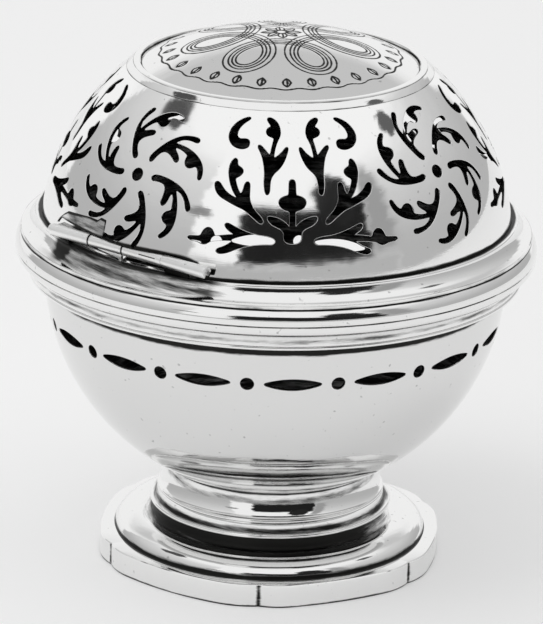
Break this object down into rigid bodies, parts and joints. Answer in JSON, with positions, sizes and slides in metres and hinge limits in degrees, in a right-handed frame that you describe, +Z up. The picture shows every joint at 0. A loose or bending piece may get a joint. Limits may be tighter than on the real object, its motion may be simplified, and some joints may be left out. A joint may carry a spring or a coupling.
{
  "type": "toilet box",
  "caption": "Globe-shaped silver sponge box with a pierced domed lid hinged at the back, a moulded girdle, a pierced band and a lobed foot.",
  "frame": {"origin": "middle of the underside of the plinth, on the surface that the box stands on", "axes": "+Z up; the hinge is at the back, along X at +Y; -Y is the front"},
  "size_m": [0.095, 0.095, 0.0988],
  "materials": {
    "silver": "polished silver with light wear"
  },
  "bodies": {
    "base": {"foot_plinth": "silver", "foot_dome": "silver", "foot_stem": "silver", "bowl": "silver", "girdle_lower_moulding": "silver", "girdle_upper_moulding": "silver", "bezel_ring": "silver", "body_knuckle_centre": "silver", "body_knuckle_end": "silver", "hinge_pin": "silver"},
    "lid": {"lid_dome": "silver", "lid_hinge_leaf": "silver", "lid_knuckle_centre": "silver", "lid_top_frame": "silver", "lid_top_panel": "silver"}
  },
  "joints": [
    {"name": "lid_hinge", "type": "hinge", "parent": "base", "child": "lid", "pos_m": [0, 0.0412, 0.06709], "axis": [-1, 0, 0], "range_deg": [0, 90]}
  ]
}
